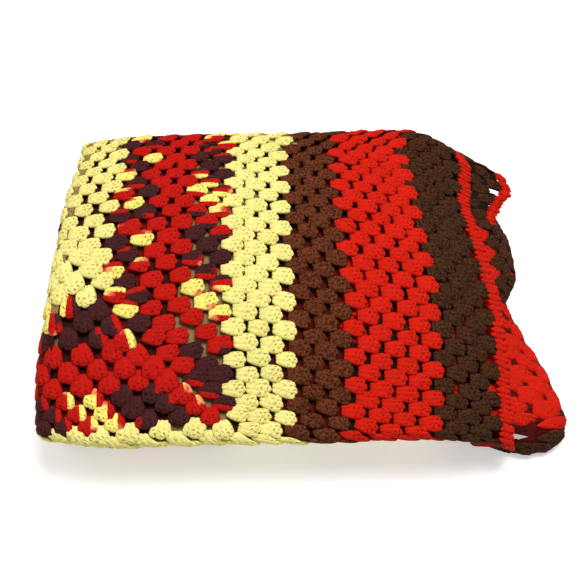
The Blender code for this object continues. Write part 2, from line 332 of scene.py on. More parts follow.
        lean = self.set_back * (1 - height / (pile - 1))
        y = y + lean * ease((self.set_back_start - y) / self.set_back_run)
        x = x + self.taper * (x - self.taper_centre) * (y - self.y_front)
        for x_start, x_run, y_start, y_run, pull_x, pull_y in CORNER_PULLS:
            pull = ease((x - x_start) / x_run) * ease((y - y_start) / y_run)
            x = x + pull * pull_x
            y = y + pull * pull_y
        return np.stack([x - self.middle[0], y - self.middle[1], z], axis=-1)

    def roll_start(self, down: Array) -> Array:
        """Ring at which the outer flap's edge begins to roll under, row by row."""
        return read(ROLL_LINE, down, 1)[0]

    def _roll_line(self, down: Array) -> Array:
        """Points along the line where the flap's edge begins to roll under."""
        return np.stack(read(ROLL_LINE, down, 2, 3, 4), axis=-1)

    def flap_rows(self, offset: float) -> Array:
        """Rows down the flap that lie two rounds apart as measured along its roll line.

        Args:
            offset: the first row's distance from the line's start, in rounds.

        Returns:
            Places down the cloth.
        """
        downs = np.linspace(ROLL_LINE[0, 0], ROLL_LINE[-1, 0], 400)
        steps = np.linalg.norm(np.diff(self._roll_line(downs), axis=0), axis=-1)
        length = np.concatenate([[0.0], np.cumsum(steps)]) / ROUND
        return np.interp(np.arange(offset, length[-1], 2.0), length, downs)

    def _slopes(self, across: Array, down: Array, step: float) -> tuple[Array, Array]:
        """Ways in metres from a step before each place to a step past it, across and down."""
        return (self.place(across + step, down) - self.place(across - step, down),
                self.place(across, down + step) - self.place(across, down - step))

    def stretch(self, across: Array, down: Array, step: float = 0.4) -> tuple[Array, Array]:
        """How many times its own length the cloth is drawn out, across and down."""
        slopes = self._slopes(across, down, step)
        return tuple(np.linalg.norm(slope, axis=-1) / (2 * step * ROUND) for slope in slopes)

    def place(self, across: Array, down: Array) -> Array:
        """Positions in the bundle of places in the cloth.

        The outer flap is drawn out to its roll line, where its edge rolls under, and the free
        end is drawn out to its own line round the back fold.

        Args:
            across, down: places in the cloth.

        Returns:
            Points in metres, with x, y and z along the last axis.
        """
        across, down = (np.array(a, float) for a in np.broadcast_arrays(across, down))
        start = self.roll_start(down)
        in_flap = (down > ROLL_LINE[0, 0]) & (across > self.flap_reach)
        rolled = np.where(in_flap, np.minimum(across, start), across)
        points = self.fold(rolled, down)

        amount = ease((down - ROLL_LINE[0, 0]) / self.roll_ramp)
        drawn = self._roll_line(down) - self.fold(start, down)
        aside_share = amount * (rolled - self.flap_reach) / (start - self.flap_reach)
        drop_share = amount * ease((rolled - self.flap_drop) / (start - self.flap_drop))
        share = np.stack([aside_share, aside_share, drop_share], axis=-1)
        points = points + np.where(in_flap[..., None], share, 0.0) * drawn

        step = 0.4
        tangent = self._roll_line(down + step) - self._roll_line(down - step)
        tangent /= np.maximum(np.linalg.norm(tangent[..., :2], axis=-1, keepdims=True), 1e-9)
        past = np.where(in_flap, np.maximum(across - start, 0.0), 0.0) * ROUND
        shrink = np.sqrt(np.maximum(self.roll_radius ** 2 - 2 * self.roll_shrink * past, 1e-8))
        angle = (self.roll_radius - shrink) / self.roll_shrink
        aside = shrink * np.sin(angle)
        below = self.roll_radius - shrink * np.cos(angle)
        roll = np.stack([tangent[..., 1] * aside, -tangent[..., 0] * aside, -below], axis=-1)
        points = points + np.where(past > 0, 1.0, 0.0)[..., None] * roll

        *drawn, begins = read(END_LINE, down, 1, 2, 3, 4)
        reach = ease((across - begins) / (EDGED_ROUND - begins))
        at_end = (across > begins) & (down > END_LINE[0, 0]) & (down < END_LINE[-1, 0])
        return points + np.where(at_end, reach, 0.0)[..., None] * np.stack(drawn, axis=-1)

    def lay(self, across: Array, down: Array, proud: Array) -> Array:
        """Positions of points that stand off the middle of the cloth.

        Args:
            across, down: places in the cloth.
            proud: how far each point stands off the cloth, in metres.

        Returns:
            Points in metres.
        """
        along_across, along_down = self._slopes(across, down, 0.05)
        normal = np.cross(along_down, along_across)
        normal /= np.maximum(np.linalg.norm(normal, axis=-1, keepdims=True), 1e-12)
        return self.place(across, down) + normal * proud[..., None]


def around(ring: Array | float, s: Array, sector: Array) -> tuple[Array, Array, Array]:
    """Places on the rounds of the square.

    Args:
        ring: the round of each place.
        s: its place along its side of the round, from the middle.
        sector: its side, in quarter turns from the right-hand one.

    Returns:
        Places across and down the cloth, and the angle that each faces.
    """
    angle = sector * pi / 2
    across = ring * np.cos(angle) - s * np.sin(angle)
    down = ring * np.sin(angle) + s * np.cos(angle)
    return across, down, angle


def show(name: str, mesh: Mesh, material: Material) -> Object:
    """Put a mesh in the scene as a piece of one material."""
    mesh.materials.append(material)
    piece = bpy.data.objects.new(name, mesh)
    bpy.context.scene.collection.objects.link(piece)
    return piece


# ---- shader helpers


@dataclass
class Value:
    """A number that varies over a surface, on which plain arithmetic adds Math nodes."""

    nodes: Nodes
    socket: NodeSocket

    def _math(self, operation: str, *others: Value | float) -> Value:
        """Add a Math node on this value and others."""
        operands = {i: other for i, other in enumerate((self, *others))}
        return self.nodes.value("ShaderNodeMath", {"operation": operation}, operands)

    def __add__(self, other: Value | float) -> Value:
        """Sum."""
        return self._math("ADD", other)

    __radd__ = __add__

    def __sub__(self, other: Value | float) -> Value:
        """Difference."""
        return self._math("SUBTRACT", other)

    def __rsub__(self, other: float) -> Value:
        """A number less this value."""
        return (self * -1.0) + other

    def __mul__(self, other: Value | float) -> Value:
        """Product."""
        return self._math("MULTIPLY", other)

    __rmul__ = __mul__

    def sine(self) -> Value:
        """Sine of the value."""
        return self._math("SINE")

    def past_whole(self) -> Value:
        """What is left of the value past its last whole number."""
        return self._math("FRACT")

    def at_least(self, other: Value | float) -> Value:
        """The larger of two values."""
        return self._math("MAXIMUM", other)

    def at_most(self, other: Value | float) -> Value:
        """The smaller of two values."""
        return self._math("MINIMUM", other)


class Nodes:
    """The node tree of one material."""

    def __init__(self, name: str) -> None:
        """Start a material with its Principled shader.

        Args:
            name: the material's name.
        """
        self.material = bpy.data.materials.new(name)
        self.material.use_nodes = True
        self.tree = self.material.node_tree
        self.shader = self.tree.nodes["Principled BSDF"]

    def add(self, kind: str, settings: dict | None = None, inputs: dict | None = None) -> Node:
        """Add one node.

        Args:
            kind: the node's type.
            settings: its properties; a list of (place, colour) under "stops" fills a ramp.
            inputs: values or links for its sockets, by name or number.

        Returns:
            The node.
        """
        node = self.tree.nodes.new(kind)
        for name, value in (settings or {}).items():
            if name == "stops":
                self._fill_ramp(node.color_ramp, value)
            else:
                setattr(node, name, value)
        for name, value in (inputs or {}).items():
            self.plug(node.inputs[name], value)
        return node

    def _fill_ramp(self, ramp: ColorRamp, stops: list[tuple[float, tuple]]) -> None:
        """Give a ramp its stops."""
        while len(ramp.elements) < len(stops):
            ramp.elements.new(0.5)
        for element, (place, colour) in zip(ramp.elements, stops):
            element.position = place
            element.color = (*colour[:3], 1.0)

    def plug(self, socket: NodeSocket, value: object) -> None:
        """Link a socket, or set its value."""
        value = value.socket if isinstance(value, Value) else value
        if isinstance(value, NodeSocket):
            self.tree.links.new(value, socket)
        else:
            socket.default_value = (*value, 1.0) if socket.type == "RGBA" else value

    def value(self, kind: str, settings: dict | None, inputs: dict, output: int | str = 0) -> Value:
        """Add one node and wrap one of its outputs as a value."""
        return Value(self, self.add(kind, settings, inputs).outputs[output])

    def attribute(self, name: str) -> Value:
        """A number kept on the mesh."""
        return self.value("ShaderNodeAttribute", {"attribute_name": name}, {}, "Fac")

    def noise(self, scale: float, detail: float = 2.0, roughness: float = 0.5) -> Value:
        """Soft noise fixed to the piece, with a scale in turns per metre."""
        place = self.add("ShaderNodeTexCoord").outputs["Object"]
        inputs = {"Vector": place, "Scale": scale, "Detail": detail, "Roughness": roughness}
        return self.value("ShaderNodeTexNoise", None, inputs, "Fac")

    def shade(self, **sockets: object) -> None:
        """Set or link sockets of the Principled shader, by name with _ for a space."""
        for name, value in sockets.items():
            self.plug(self.shader.inputs[name.replace("_", " ")], value)


def from_screen(red: int, green: int, blue: int) -> tuple[float, float, float]:
    """A linear colour from its 0 to 255 screen values."""
    def linear(part: int) -> float:
        """One channel, made linear."""
        share = part / 255
        return share / 12.92 if share <= 0.04045 else ((share + 0.055) / 1.055) ** 2.4
    return linear(red), linear(green), linear(blue)


# ---- yarns


class Shade(Enum):
    """The colours that the yarns are dyed in."""

    CREAM = from_screen(240, 229, 139)
    RED = from_screen(201, 27, 6)
    BROWN = from_screen(106, 52, 25)
    DARK_BROWN = from_screen(72, 40, 18)
    MAROON = from_screen(68, 29, 30)
    DEEP_RED = from_screen(186, 20, 8)
    YELLOW = from_screen(252, 238, 120)
    SALMON = from_screen(232, 130, 90)


@dataclass(frozen=True)
class Yarn:
    """Matt acrylic yarn, dyed in one shade, as it lies in worked stitches."""

    name: str
    shade: Shade
    shadow: tuple[float, float, float]
    roughness: float = 0.85
    wrap: float = 0.0040
    wrap_length: float = 0.0082
    slant: float = 38.0
    smooth_to: float = -0.0085
    slit: float = 0.85
    fuzz: float = 1.4
    depth: float = 0.10
    bump: float = 0.7
    fibre_scale: float = 480.0
    mottle_scale: float = 170.0
    smooth_run: float = 0.005
    slit_from: float = 0.35

    def grain(self, nodes: Nodes) -> Value:
        """Height of the small grains that the wraps of yarn make, from 0 in a slit to 1.

        Args:
            nodes: the material's nodes.

        Returns:
            The height.
        """
        place = nodes.add("ShaderNodeUVMap", {"uv_map": "stitch"}).outputs["UV"]
        parts = nodes.add("ShaderNodeSeparateXYZ", None, {0: place})
        along = Value(nodes, parts.outputs[0]) + (nodes.noise(240.0, 1.0) - 0.5) * 0.0040
        outward = Value(nodes, parts.outputs[1]) + (nodes.noise(210.0, 1.0) - 0.5) * 0.0040
        slant = radians(self.slant)
        across_wrap = along * cos(slant) + outward * sin(slant)
        along_wrap = outward * cos(slant) - along * sin(slant)
        waves = (across_wrap * (2 * pi / self.wrap)).sine()
        waves = waves * (along_wrap * (2 * pi / self.wrap_length)).sine()
        worked = ((outward - self.smooth_to) * (1 / self.smooth_run)).at_least(0.0).at_most(1.0)
        return 1.0 - (waves - self.slit_from).at_least(0.0) * (1 / (1 - self.slit_from)) * worked

    def colour(self, nodes: Nodes) -> object:
        """The dyed colour before the painted shade of the slits and the fibres vary it."""
        return self.shade.value

    def material(self) -> Material:
        """Make the yarn's material.

        Returns:
            The material.
        """
        nodes = Nodes(self.name)
        grain = self.grain(nodes)
        fibres = nodes.noise(self.fibre_scale, 2.0, 0.7)
        mottle = nodes.noise(self.mottle_scale)
        # painted shade: the slits between the wraps are darkened towards the shadow colour
        depth = (1.0 - grain) * self.slit + (fibres - 0.5) * self.fuzz + (mottle - 0.5) * 0.35
        depth = depth + nodes.attribute("tone") + self.depth
        settings = {"data_type": "RGBA", "blend_type": "MULTIPLY"}
        inputs = {0: depth.at_least(0.0).at_most(1.0), 6: self.colour(nodes), 7: self.shadow}
        shaded = nodes.add("ShaderNodeMix", settings, inputs).outputs[2]
        height = grain * 0.6 + fibres * 0.8
        inputs = {"Strength": self.bump, "Distance": 0.0012, "Height": height}
        bump = nodes.add("ShaderNodeBump", None, inputs).outputs[0]
        nodes.shade(
            Base_Color=shaded, Roughness=self.roughness, Normal=bump, Sheen_Weight=0.05,
            Sheen_Roughness=0.5, Sheen_Tint=self.shade.value, Specular_IOR_Level=0.12,
        )
        return nodes.material


@dataclass(frozen=True)
class VariegatedYarn(Yarn):
    """Yarn dyed in lengths of maroon, red and yellow, with short salmon lengths between."""

    def colour(self, nodes: Nodes) -> object:
        """The colour at a place in the repeat of dyed lengths.

        Args:
            nodes: the material's nodes.

        Returns:
            The colour's socket.
        """
        lengths = [
            (0.000, Shade.MAROON), (0.420, Shade.MAROON), (0.440, Shade.DEEP_RED),
            (0.515, Shade.DEEP_RED), (0.525, Shade.SALMON), (0.540, Shade.YELLOW),
            (0.735, Shade.YELLOW), (0.750, Shade.SALMON), (0.760, Shade.DEEP_RED),
            (0.980, Shade.DEEP_RED),
        ]
        stops = [(end, shade.value) for end, shade in lengths]
        place = nodes.attribute("repeat") + (nodes.noise(110.0) - 0.5) * 0.06
        ramp = nodes.add("ShaderNodeValToRGB", {"stops": stops}, {0: place.past_whole()})
        return ramp.outputs[0]


RED_SHADOW = (0.42, 0.10, 0.05)     # share of its colour that red yarn keeps in its slits


class InnerShade(Enum):
    """The yarns as they look inside the bundle, in the shade of the layers above."""

    CREAM = from_screen(150, 122, 78)
    RED = from_screen(84, 10, 6)
    BROWN = from_screen(40, 24, 18)
    DARK_BROWN = from_screen(28, 18, 13)
    MAROON = from_screen(64, 16, 14)
    DEEP_RED = from_screen(112, 12, 8)


@dataclass(frozen=True)
class ClothYarn(Yarn):
    """The yarns of the inner cloth, striped by the round that each place lies in."""

    stripes: tuple[tuple[float, InnerShade], ...] = ()

    def colour(self, nodes: Nodes) -> object:
        """The colour of the round at a place.

        Args:
            nodes: the material's nodes.

        Returns:
            The colour's socket.
        """
        share = nodes.attribute("ring") * (1 / (LAST_ROUND + 1))
        # each stripe's colour is its yarn darkened as painted shade of the layers above
        stops = [(start / (LAST_ROUND + 1), shade.value) for start, shade in self.stripes]
        ramp = nodes.add("ShaderNodeValToRGB", {"stops": stops}, {0: share})
        ramp.color_ramp.interpolation = "CONSTANT"
        return ramp.outputs[0]


# ---- stitches


@dataclass(frozen=True)
class Strand:
    """One plump part of a stitch, such as a wrapped post, sized in millimetres.

    Its foot is at (along, outward) in the stitch, and it is turned from the outward direction.
    """

    along: float
    outward: float
    length: float
    foot: float
    head: float
    thickness: float
    turn: float = 0.0
    foot_lift: float = 0.0
    head_lift: float = 0.0
    sides: int = 8
    rings: int = 6
    dye: float = 0.0

    def add_to(self, stitch: BMesh) -> None:
        """Add the strand to a stitch.

        Args:
            stitch: the mesh of the stitch, with a "stitch" UV map and a "dye" layer.
        """
        made = bmesh.ops.create_uvsphere(
            stitch, u_segments=self.sides, v_segments=self.rings, radius=1.0,
        )
        dye = stitch.verts.layers.float["dye"]
        flat = stitch.loops.layers.uv["stitch"]
        turn = radians(self.turn)
        for vertex in made["verts"]:
            aside, up, forth = vertex.co
            share = (forth + 1) / 2
            blunt = max(aside * aside + up * up, 1e-12) ** -0.2
            width = self.foot + (self.head - self.foot) * share
            aside *= blunt * width / 2
            forth = share * self.length
            lift = self.foot_lift + (self.head_lift - self.foot_lift) * share
            up = lift + up * blunt * self.thickness / 2 * (0.7 + 0.3 * share)
            along = self.along + aside * cos(turn) + forth * sin(turn)
            outward = self.outward - aside * sin(turn) + forth * cos(turn)
            vertex.co = (along, outward, up)
            vertex[dye] = self.dye + 0.05 * (share - 0.5)
            for loop in vertex.link_loops:
                loop[flat].uv = (along * MM, outward * MM)


@dataclass
class Stitch:
    """A stitch worked from strands, kept as arrays that are laid many times."""

    strands: list[Strand]

    def __post_init__(self) -> None:
        """Build the mesh and read its arrays."""
        stitch = bmesh.new()
        stitch.loops.layers.uv.new("stitch")
        stitch.verts.layers.float.new("dye")
        for strand in self.strands:
            strand.add_to(stitch)
        bmesh.ops.recalc_face_normals(stitch, faces=stitch.faces)
        stitch.verts.index_update()
        dye = stitch.verts.layers.float["dye"]
        uv = stitch.loops.layers.uv["stitch"]
        self.points = np.array([vertex.co for vertex in stitch.verts])
        self.dye = np.array([vertex[dye] for vertex in stitch.verts])
        self.corners = np.array([loop.vert.index for face in stitch.faces for loop in face.loops])
        self.uv = np.array([loop[uv].uv for face in stitch.faces for loop in face.loops])
        self.face_sizes = np.array([len(face.verts) for face in stitch.faces])
        stitch.free()

    @property
    def triangles(self) -> int:
        """Triangles in one stitch."""
        return int((self.face_sizes - 2).sum())


def cluster(sides: int, rings: int) -> Stitch:
    """A cluster of three trebles that fan out from one space to a round head.

    Args:
        sides: faces round each treble.
        rings: faces along each treble.

    Returns:
        The stitch.
    """
    outer = [
        Strand(
            along=post * 2.7, outward=-16.2, length=19.8, foot=7.0, head=9.0, thickness=5.2,
            turn=post * 6.5, foot_lift=-1.1, head_lift=0.4, sides=sides, rings=rings,
            dye=post * 0.079,
        )
        for post in (-1, 1)
    ]
    middle = Strand(
        along=0.0, outward=-16.2, length=21.6, foot=7.6, head=10.0, thickness=5.6,
        foot_lift=-1.0, head_lift=0.6, sides=sides, rings=rings,
    )
    return Stitch([outer[0], middle, outer[1]])


def edging_stitch() -> Stitch:
    """Close stitches of the edging's two rows, one over the other, with the rim's loop."""
    # along, outward, length, foot, head, thickness, turn, foot lift, head lift
    sizes = [
        (-0.4, -2.2, 8.4, 3.4, 6.4, 5.4, 7, 0.6, 1.0),
        (0.5, 4.0, 7.8, 6.0, 6.4, 5.4, -6, 0.8, 0.8),
        (-3.8, 4.6, 7.6, 9.4, 9.4, 5.6, 90, 0.4, 0.4),
    ]
    return Stitch([Strand(*row, sides=6, rings=4) for row in sizes])


# ---- rounds


class Sector(Enum):
    """The four sides of the square, with the quarter turns from the right-hand side."""

    RIGHT = 0
    FRONT = 1
    LEFT = 2
    BACK = 3


@dataclass
class Places:
    """Places of many stitches in the cloth.

    Each has the way that it faces, how far it is skewed, where it lies in the yarn's repeat,
    and its own length and width.
    """

    across: Array
    down: Array
    turn: Array
    skew: Array
    repeat: Array
    length: Array
    width: Array

    def keep(self, chosen: Array) -> Places:
        """The places that are chosen."""
        return Places(*(row[chosen] for row in vars(self).values()))

    def columns(self) -> list[Array]:
        """Every row of numbers, as a column."""
        return [row[:, None] for row in vars(self).values()]

    def __len__(self) -> int:
        """How many places there are."""
        return len(self.across)


@dataclass(frozen=True)
class Drift:
    """How far the clusters of the top layer have been pulled from an even net, in rounds.

    Each row of the two tables belongs to a place across the cloth and each column to one down it.
    """

    acrosses: tuple[float, ...] = (9.0, 14.0, 20.0, 24.0, 30.5, 33.5, 40.5, 44.5, 51.0)
    downs: tuple[float, ...] = (-20.0, 1.0, 6.0, 10.0, 14.0, 18.0, 22.0, 26.0, 30.0, 34.0)
    aside: tuple[tuple[float, ...], ...] = (
        (0.0, 0.0, 0.0, 0.0, 0.0, 0.0, 0.0, 0.0, 0.0, 0.0),
        (0.0, 0.0, 0.3, 0.3, 0.3, 0.3, 0.4, 1.7, 1.9, 1.2),
        (0.0, 0.0, 0.6, 0.6, 0.6, 0.6, 0.5, 1.3, 1.3, 1.0),
        (0.0, 0.0, 0.6, 0.6, 0.5, 0.45, 0.5, 0.8, 0.9, 0.8),
        (0.0, 0.0, 0.8, 0.75, 0.55, 0.5, 0.5, 0.75, 0.9, 0.8),
        (0.0, 0.0, 0.75, 0.6, 0.35, 0.1, 0.2, 0.4, 0.5, 0.5),
        (0.0, 0.0, 1.2, 0.9, 0.7, 0.5, 0.35, 0.4, 0.3, 0.3),
        (0.0, 0.0, 0.8, 0.8, 0.65, 0.45, 0.25, 0.25, -0.1, 0.0),
        (0.0, 0.0, 0.0, 0.0, 0.0, 0.0, 0.0, 0.0, 0.0, 0.0),
    )
    along: tuple[tuple[float, ...], ...] = (
        (0.0, 0.0, 0.0, 0.0, 0.0, 0.0, 0.0, 0.0, 0.0, 0.0),
        (0.0, -0.4, -0.5, -0.5, -0.5, -0.6, -0.6, 0.5, 1.4, 1.2),
        (0.0, -0.4, -0.5, -0.5, -0.5, -0.6, -0.6, 0.1, 0.5, 0.3),
        (0.0, -0.45, -0.55, -0.6, -0.6, -0.6, -0.6, -0.1, 0.0, 0.0),
        (0.0, -0.15, -0.2, -0.3, -0.5, -0.6, -0.6, -0.5, -0.6, 0.0),
        (0.0, 0.1, 0.1, 0.1, 0.0, 0.0, -0.1, -0.1, -0.3, 0.0),
        (0.0, 1.05, 1.3, 1.3, 1.15, 1.1, 1.25, 1.45, 1.6, 1.6),
        (0.0, 1.75, 2.2, 1.9, 1.7, 1.6, 1.9, 2.2, 2.4, 2.4),
        (0.0, 2.5, 3.2, 2.9, 2.7, 2.6, 2.8, 3.0, 3.2, 3.2),
    )

    def at(self, across: Array, down: Array) -> Array:
        """The pull at places in the cloth.

        Args:
            across, down: places in the cloth.

        Returns:
            The pull across and down, one row each.
        """
        column = np.interp(across, self.acrosses, np.arange(len(self.acrosses)))
        first = np.minimum(column.astype(int), len(self.acrosses) - 2)
        share, every = column - first, np.arange(len(across))
        pulls = []
        for table in (self.aside, self.along):
            rows = np.stack([np.interp(down, self.downs, row) for row in table])
            pulls.append(rows[first, every] * (1 - share) + rows[first + 1, every] * share)
        return np.stack(pulls)


@dataclass
class Rounds:
    """Rounds of clusters worked one after another in the same yarn."""

    first: int
    last: int
    repeat_length: float = 8.45
    dark_starts: dict[int, float] = field(default_factory=dict)
    corner_shift: float = 0.9
    corner_run: float = 12.0
    corner_turn: float = 12.0
    corner_reach: float = 0.3
    full_size: float = 1.3
    length_share: float = 0.8
    front_width: float = 1.16
    drift: Drift = Drift()

    def places(self) -> Places:
        """Where every cluster of these rounds is worked.

        Returns:
            The places.
        """
        rows = []
        for ring in range(self.first, self.last + 1):
            for sector in Sector:
                for s in range(2 - ring, ring, 2) if ring > 1 else [0]:
                    shift = ease((abs(s) - ring + self.corner_run) / (self.corner_run - 2))
                    lean = self.corner_turn * np.sign(s) * (abs(s) == ring - 2)
                    worked = s + 2 * ring * sector.value - self.dark_starts.get(ring, 0.0)
                    place = s + self.corner_shift * np.sign(s) * shift
                    reach = ring + self.corner_reach * (abs(s) == ring - 2)
                    rows.append((reach, place, sector.value, lean, worked / self.repeat_length))
        ring, s, sector, lean, repeat = np.array(rows, float).T
        across, down, angle = around(ring, s, sector)
        width = np.where(sector == Sector.FRONT.value, self.front_width, 1.0)
        way = np.stack([np.cos(angle), np.sin(angle)])
        place = np.stack([across, down])
        pulled = 2 * way + self.drift.at(*(place + way)) - self.drift.at(*(place - way))
        aside, outward = pulled[1] * way[0] - pulled[0] * way[1], (pulled * way).sum(axis=0)
        across, down = place + self.drift.at(across, down)
        turn, length = angle + np.radians(lean), np.ones_like(s)
        return Places(across, down, turn, aside / outward, repeat, length, width)

    def flap_places(self, folds: FoldedSquare) -> Places:
        """Where the clusters of these rounds are worked in the outer flap's drawn-out end.

        Args:
            folds: the folded square.

        Returns:
            The places, whose clusters keep their own size however the cloth is drawn out.
        """
        rounds = range(self.first, self.last + 1)
        rows = [(ring, down) for ring in rounds for down in folds.flap_rows(ring % 2)]
        across, down = np.array(rows, float).T
        wide, long = folds.stretch(across, down)
        stretches = (wide * self.length_share, long)
        length, width = (np.clip(self.full_size / stretch, 0.0, 1.0) for stretch in stretches)
        none = np.zeros_like(down)
        return Places(across, down, none, none, none, length, width)


@dataclass
class Piece:
    """A joined mesh of many stitches of one kind, laid through the folds."""

    name: str
    folds: FoldedSquare
    seed: int
    turn_spread: float = radians(3.5)
    size_spread: float = 0.04
    lift_spread: float = 0.0003
    tone_spread: float = 0.04

    def lay(self, batches: list[tuple[Stitch, Places]], material: Material) -> Object:
        """Lay stitches at their places and join them.

        Args:
            batches: kinds of stitch with the places of each.
            material: the yarn.

        Returns:
            The piece.
        """
        rng = np.random.default_rng(self.seed)
        batches = [(stitch, places, len(places)) for stitch, places in batches if len(places)]
        parts, start = [], 0
        for stitch, places, count in batches:
            def drawn(spread: float, mean: float = 0.0) -> Array:
                """A column with one random number for each stitch."""
                return rng.normal(mean, spread, (count, 1))

            local = stitch.points[None] * MM / ROUND
            across, down, turn, skew, repeat, length, width = places.columns()
            turn = turn + drawn(self.turn_spread)
            scale = drawn(self.size_spread, 1.0)
            out = local[..., 1] * (scale * length) + drawn(self.size_spread)
            aside = local[..., 0] * (scale * width) + drawn(self.size_spread) + out * skew
            across = across + out * np.cos(turn) - aside * np.sin(turn)
            down = down + out * np.sin(turn) + aside * np.cos(turn)
            proud = local[..., 2] * ROUND + drawn(self.lift_spread)
            offsets = start + np.arange(count)[:, None] * len(stitch.points)
            parts.append((
                self.folds.lay(across, down, proud).reshape(-1, 3),
                (stitch.corners[None, :] + offsets).ravel(),
                np.tile(stitch.face_sizes, count),
                np.tile(stitch.uv, (count, 1)),
                np.repeat(drawn(self.tone_spread), len(stitch.points)),
                (repeat + stitch.dye[None, :]).ravel(),
            ))
            start += count * len(stitch.points)
        mesh = self._join(*(np.concatenate(rows) for rows in zip(*parts)))
        return show(self.name, mesh, material)

    def _join(self, points: Array, corners: Array, sizes: Array, uvs: Array, tones: Array,
              repeats: Array) -> Mesh:
        """Make one mesh from the arrays of all stitches."""
        mesh = bpy.data.meshes.new(self.name)
        mesh.vertices.add(len(points))
        mesh.vertices.foreach_set("co", points.astype(np.float32).ravel())
        mesh.loops.add(len(corners))
        mesh.loops.foreach_set("vertex_index", corners.astype(np.int32))
        mesh.polygons.add(len(sizes))
        starts = np.cumsum(sizes) - sizes
        mesh.polygons.foreach_set("loop_start", starts.astype(np.int32))
        mesh.uv_layers.new(name="stitch").data.foreach_set("uv", uvs.astype(np.float32).ravel())
        for name, values in (("tone", tones), ("repeat", repeats)):
            layer = mesh.attributes.new(name, "FLOAT", "POINT")
            layer.data.foreach_set("value", values.astype(np.float32))
        mesh.update(calc_edges=True)
        mesh.validate()
        mesh.shade_smooth()
        return mesh


# ---- the blanket's pieces


class Stripe(Enum):
    """Stripes of the square, from its centre, with their first and last rounds."""

    CENTRE = (1, 5, Shade.CREAM)
    INNER_BROWN = (6, 10, Shade.BROWN)
    INNER_RED = (11, 13, Shade.RED)
    INNER_VARIEGATED = (14, 16, Shade.MAROON)
    INNER_CREAM = (17, 21, Shade.CREAM)
    FIRST_VARIEGATED = (22, 24, Shade.MAROON)
    NARROW_RED = (25, 27, Shade.DEEP_RED)
    SECOND_VARIEGATED = (28, 30, Shade.MAROON)
    OUTER_CREAM = (31, 35, Shade.CREAM)
    OUTER_BROWN = (36, 39, Shade.BROWN)
    OUTER_RED = (40, 46, Shade.RED)
    DARK_BROWN = (47, 51, Shade.DARK_BROWN)

    def __init__(self, first: int, last: int, shade: Shade) -> None:
        """Name what a stripe's row holds."""
        self.first, self.last, self.shade = first, last, shade


@dataclass
class Showing:
    """Which places of the folded square show, and how closely they are seen."""

    folds: FoldedSquare
    end_start: float = 42.0
    end_back: float = -12.0
    flap_start: float = 41.5
    second_start: float = 41.5
    second_back: float = -16.0
    behind_back: float = -39.0
    end_hole: tuple[float, float, float] = (49.8, 0.0, 0.6)
    crease: tuple[float, float] = (46.4, 35.0)
    gap_across: tuple[float, float] = (44.3, 45.3)
    gap_down: tuple[float, float] = (34.05, 34.45)

    def __post_init__(self) -> None:
        """Work out where the closely seen top layer begins and ends."""
        self.top_back = self.folds.back_fold - 0.4
        self.top_front = self.folds.front_fold + 1.2

    def close(self, across: Array, down: Array) -> Array:
        """Places seen from close by: the top layer, its folds and the open right end.

        Args:
            across, down: places in the cloth.

        Returns:
            True where a place is seen closely.
        """
        folds = self.folds
        left_half = folds.bend_halves(np.full_like(down, 3.0))[0]
        over_top = across >= folds.left_fold - left_half - 0.6
        top = over_top & (down > self.top_back) & (down < self.top_front)
        at_end = (across >= self.end_start) & (down <= self.top_back) & (down > self.end_back)
        return top | at_end

    def flap(self, across: Array, down: Array) -> Array:
        """Places in the drawn-out end of the outer flap, apart from the crease at its front."""
        in_crease = (across < self.crease[0]) & (down < self.crease[1])
        return (across >= self.flap_start) & (down >= self.top_front) & ~in_crease

    def gap(self, across: Array, down: Array) -> Array:
        """Places in the gap between the flap's corner and its rolled edge."""
        within = (across > self.gap_across[0]) & (across < self.gap_across[1])
        return within & (down > self.gap_down[0]) & (down < self.gap_down[1])

    def plain(self, across: Array, down: Array) -> Array:
        """Places seen from the sides, from below or through the holes of the top layer.

        Args:
            across, down: places in the cloth.

        Returns:
            True where a place is seen, but not closely.
        """
        folds = self.folds
        right_edge = folds.right_fold + folds.bend_halves(np.zeros_like(down))[1]
        second = (down <= folds.back_fold) & (down > self.second_back)
        second = second & (across >= self.second_start)
        lowest = (down > self.top_front) & (across <= right_edge)
        behind = (down < self.behind_back) & (across <= right_edge)
        front = np.abs(down - folds.front_fold) <= 1.9
        back = np.abs(down - folds.back_fold) <= 1.2
        seen = second | lowest | behind | front | back
        return seen & ~self.close(across, down) & ~self.gap(across, down)

    def open_cloth(self, across: Array, down: Array) -> Array:
        """Places where the clusters alone make the cloth, with real holes between them.

        Args:
            across, down: places in the cloth.

        Returns:
            True where there is no inner cloth.
        """
        folds = self.folds
        top = (across >= folds.left_fold + 2.5) & (down > folds.back_fold + 0.5)
        rolled = (down > folds.front_fold) & (across > folds.roll_start(down) + 0.6)
        hole_start, hole_back, hole_front = self.end_hole
        by_edge = (across > hole_start) & (down > hole_back) & (down < hole_front)
        return top & (down < folds.front_fold + 0.5) | rolled | self.gap(across, down) | by_edge

    def open_share(self) -> float:
        """Share of the square that has no inner cloth."""
        side = np.linspace(-LAST_ROUND, LAST_ROUND, 401)
        across, down = np.meshgrid(side, side)
        return float(self.open_cloth(across, down).mean())


